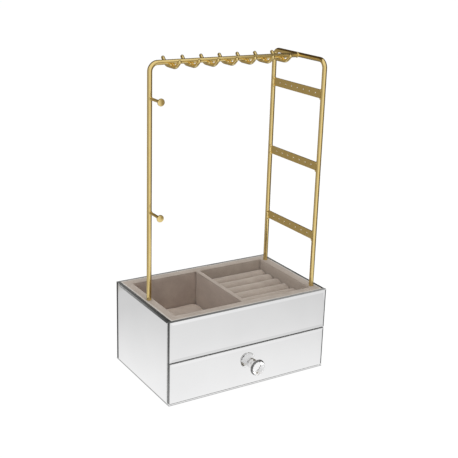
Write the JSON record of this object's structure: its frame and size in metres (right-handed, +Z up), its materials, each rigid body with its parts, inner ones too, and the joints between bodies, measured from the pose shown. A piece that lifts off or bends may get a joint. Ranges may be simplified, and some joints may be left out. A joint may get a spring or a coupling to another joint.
{
  "type": "jewelry holder",
  "caption": "Mirrored jewelry box with a velvet tray, ring cushion and drawer, carrying a brass-coloured wire stand with necklace hooks, pegs and earring strips.",
  "frame": {"origin": "middle of the underside of the box, on the surface that it stands on", "axes": "+Z up, -Y out of the drawer front, +X to the right seen from the front (the ladder's side)"},
  "size_m": [0.23, 0.1633, 0.4076],
  "materials": {
    "mirror_glass": "silvered glass, polished",
    "board": "dark painted fibreboard",
    "velvet": "short velvet, greige",
    "velvet_pad": "short velvet over foam, greige",
    "felt": "black felt",
    "gold_metal": "satin gold plating",
    "chrome_metal": "polished",
    "crystal": "clear, faceted",
    "screw_steel": "zinc plated"
  },
  "bodies": {
    "case": {"base_felt": "felt", "base_board": "board", "left_wall": "board", "right_wall": "board", "back_wall": "board", "front_rail": "board", "tray_floor": "board", "divider": "board", "left_mirror": "mirror_glass", "right_mirror": "mirror_glass", "back_mirror": "mirror_glass", "upper_front_mirror": "mirror_glass", "velvet_rim": "velvet", "left_liner": "velvet", "right_liner": "velvet", "floor_pad": "velvet_pad", "ring_base": "velvet", "ring_roll_1": "velvet_pad", "ring_roll_2": "velvet_pad", "ring_roll_3": "velvet_pad", "ring_roll_4": "velvet_pad", "ring_roll_5": "velvet_pad", "ring_roll_6": "velvet_pad", "main_rod": "gold_metal", "ladder_rod": "gold_metal", "earring_strip_lower": "gold_metal", "earring_strip_middle": "gold_metal", "earring_strip_upper": "gold_metal", "necklace_hook_1": "gold_metal", "necklace_hook_2": "gold_metal", "necklace_hook_3": "gold_metal", "necklace_hook_4": "gold_metal", "necklace_hook_5": "gold_metal", "necklace_hook_6": "gold_metal", "necklace_hook_7": "gold_metal", "peg_lower": "gold_metal", "peg_upper": "gold_metal"},
    "drawer": {"drawer_front": "board", "drawer_left_side": "board", "drawer_right_side": "board", "drawer_back": "board", "drawer_bottom": "board", "drawer_liner": "velvet", "drawer_mirror": "mirror_glass", "knob_base": "chrome_metal", "knob_crystal": "crystal", "knob_screw": "screw_steel"}
  },
  "joints": [
    {"name": "drawer_slide", "type": "slide", "parent": "case", "child": "drawer", "axis": [0, -1, 0], "range_m": [0, 0.095]}
  ]
}
